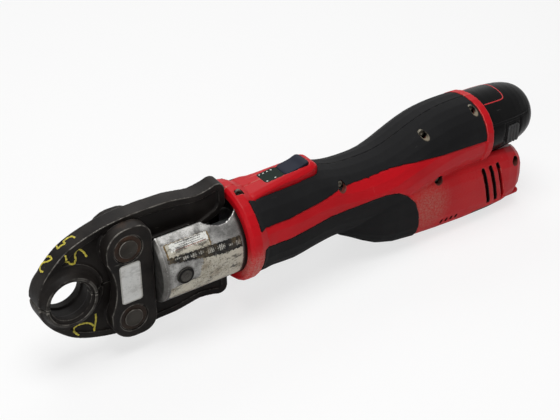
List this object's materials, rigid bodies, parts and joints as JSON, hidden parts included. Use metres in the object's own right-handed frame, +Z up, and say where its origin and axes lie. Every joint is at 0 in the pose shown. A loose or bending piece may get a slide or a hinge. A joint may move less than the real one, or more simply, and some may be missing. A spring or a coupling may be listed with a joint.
{
  "type": "cordless press tool",
  "caption": "Cordless inline press tool with a scissor jaw on a slotted fork head, a hydraulic ram with rollers, a two-shell housing with soft grips, a thumb trigger and a slide-in battery",
  "frame": {"origin": "centre of the press bore, halfway through the jaw", "axes": "+X from the jaw to the battery, +Y along the press bore to the far side, +Z up to the trigger"},
  "size_m": [0.381, 0.066, 0.0934],
  "materials": {
    "forged_steel": "forged, oil-blackened, worn bright on the edges",
    "head_steel": "bare turned steel, scratched",
    "bright_steel": "ground",
    "spring_steel": "drawn wire",
    "rusty_steel": "browned",
    "seal_rubber": "smooth",
    "bronze": "turned",
    "red_plastic": "fine moulded texture, semi-gloss, scuffed",
    "grip_rubber": "soft-touch, fine grain",
    "trigger_plastic": "fine texture",
    "window_plastic": "smoked",
    "light_pipe": "clear, moulded",
    "board_green": "solder mask",
    "black_plastic": "glossy with fine scratches",
    "dark_plastic": "moulded",
    "cast_alloy": "machined",
    "motor_steel": "plated",
    "copper_core": "wound",
    "cell_wrap": "shrink wrap",
    "contact_brass": "plated",
    "screw_steel": "zinc plated"
  },
  "bodies": {
    "tool": {"fork_head": "head_steel", "near_side_plate": "forged_steel", "far_side_plate": "forged_steel", "jaw_pivot_pins": "forged_steel", "pin_retaining_rings": "rusty_steel", "jaw_spring": "spring_steel", "hydraulic_cylinder": "bright_steel", "rod_guide": "bronze", "ram_return_spring": "spring_steel", "near_housing": "red_plastic", "far_housing": "red_plastic", "near_top_grip": "grip_rubber", "far_top_grip": "grip_rubber", "near_bottom_grip": "grip_rubber", "far_bottom_grip": "grip_rubber", "housing_screws": "screw_steel", "trigger_spring": "spring_steel", "switch_unit": "dark_plastic", "indicator_window": "window_plastic", "indicator_lights": "light_pipe", "control_board": "board_green", "pump_block": "cast_alloy", "pump_plunger": "bright_steel", "relief_valve": "contact_brass", "oil_bladder": "seal_rubber", "gear_case": "cast_alloy", "motor_can": "motor_steel", "terminal_block": "dark_plastic"},
    "upper_jaw": {"upper_jaw_arm": "forged_steel"},
    "lower_jaw": {"lower_jaw_arm": "forged_steel"},
    "ram_body": {"ram": "bright_steel", "roller_pins": "bright_steel", "piston_seal": "seal_rubber"},
    "upper_press_roller": {"upper_roller": "bright_steel"},
    "lower_press_roller": {"lower_roller": "bright_steel"},
    "retaining_pin": {"jaw_retaining_pin": "forged_steel"},
    "trigger_body": {"trigger": "trigger_plastic"},
    "battery": {"battery_case": "black_plastic", "battery_cells": "cell_wrap", "battery_contacts": "contact_brass"},
    "near_latch": {"near_latch_button": "dark_plastic"},
    "far_latch": {"far_latch_button": "dark_plastic"},
    "rotor": {"motor_rotor": "copper_core", "cooling_fan": "dark_plastic"},
    "eccentric": {"eccentric_shaft": "bright_steel"}
  },
  "joints": [
    {"name": "ram_slide", "type": "slide", "parent": "tool", "child": "ram_body", "axis": [1, 0, 0], "range_m": [0, 0.042], "deforming": ["ram_return_spring"]},
    {"name": "upper_jaw_hinge", "type": "hinge", "parent": "tool", "child": "upper_jaw", "pos_m": [0.0365, 0, 0.025], "axis": [0, 1, 0], "range_deg": [0, 15], "deforming": ["jaw_spring"]},
    {"name": "lower_jaw_hinge", "type": "hinge", "parent": "tool", "child": "lower_jaw", "pos_m": [0.0365, 0, -0.025], "axis": [0, -1, 0], "range_deg": [0, 15]},
    {"name": "upper_roller_spin", "type": "hinge", "parent": "ram_body", "child": "upper_press_roller", "pos_m": [0.0865, 0, 0.0063], "axis": [0, -1, 0], "range_deg": [0, 402]},
    {"name": "lower_roller_spin", "type": "hinge", "parent": "ram_body", "child": "lower_press_roller", "pos_m": [0.0865, 0, -0.0063], "axis": [0, 1, 0], "range_deg": [0, 402]},
    {"name": "retaining_pin_pull", "type": "slide", "parent": "tool", "child": "retaining_pin", "axis": [0, 1, 0], "range_m": [0, 0.055]},
    {"name": "trigger_press", "type": "slide", "parent": "tool", "child": "trigger_body", "axis": [0, 0, -1], "range_m": [0, 0.002], "stiffness_N_per_m": 1200, "springref_m": -0.003, "deforming": ["trigger_spring"]},
    {"name": "battery_slide", "type": "slide", "parent": "tool", "child": "battery", "axis": [1, 0, 0], "range_m": [0, 0.065]},
    {"name": "near_latch_press", "type": "slide", "parent": "battery", "child": "near_latch", "axis": [0, 1, 0], "range_m": [0, 0.0025], "stiffness_N_per_m": 1200, "springref_m": -0.002},
    {"name": "far_latch_press", "type": "slide", "parent": "battery", "child": "far_latch", "axis": [0, -1, 0], "range_m": [0, 0.0025], "stiffness_N_per_m": 1200, "springref_m": -0.002},
    {"name": "motor_spin", "type": "hinge", "parent": "tool", "child": "rotor", "pos_m": [0.287, 0, -0.0276], "axis": [1, 0, 0], "continuous": true},
    {"name": "eccentric_spin", "type": "hinge", "parent": "tool", "child": "eccentric", "pos_m": [0.23, 0, -0.0276], "axis": [1, 0, 0], "continuous": true}
  ],
  "couplings": [
    {"joint": "upper_jaw_hinge", "follows": "ram_slide", "rad_per_m": 6.2333},
    {"joint": "lower_jaw_hinge", "follows": "ram_slide", "rad_per_m": 6.2333},
    {"joint": "upper_roller_spin", "follows": "ram_slide", "rad_per_m": 166.67},
    {"joint": "lower_roller_spin", "follows": "ram_slide", "rad_per_m": 166.67},
    {"joint": "eccentric_spin", "follows": "motor_spin", "ratio": 0.0833}
  ]
}
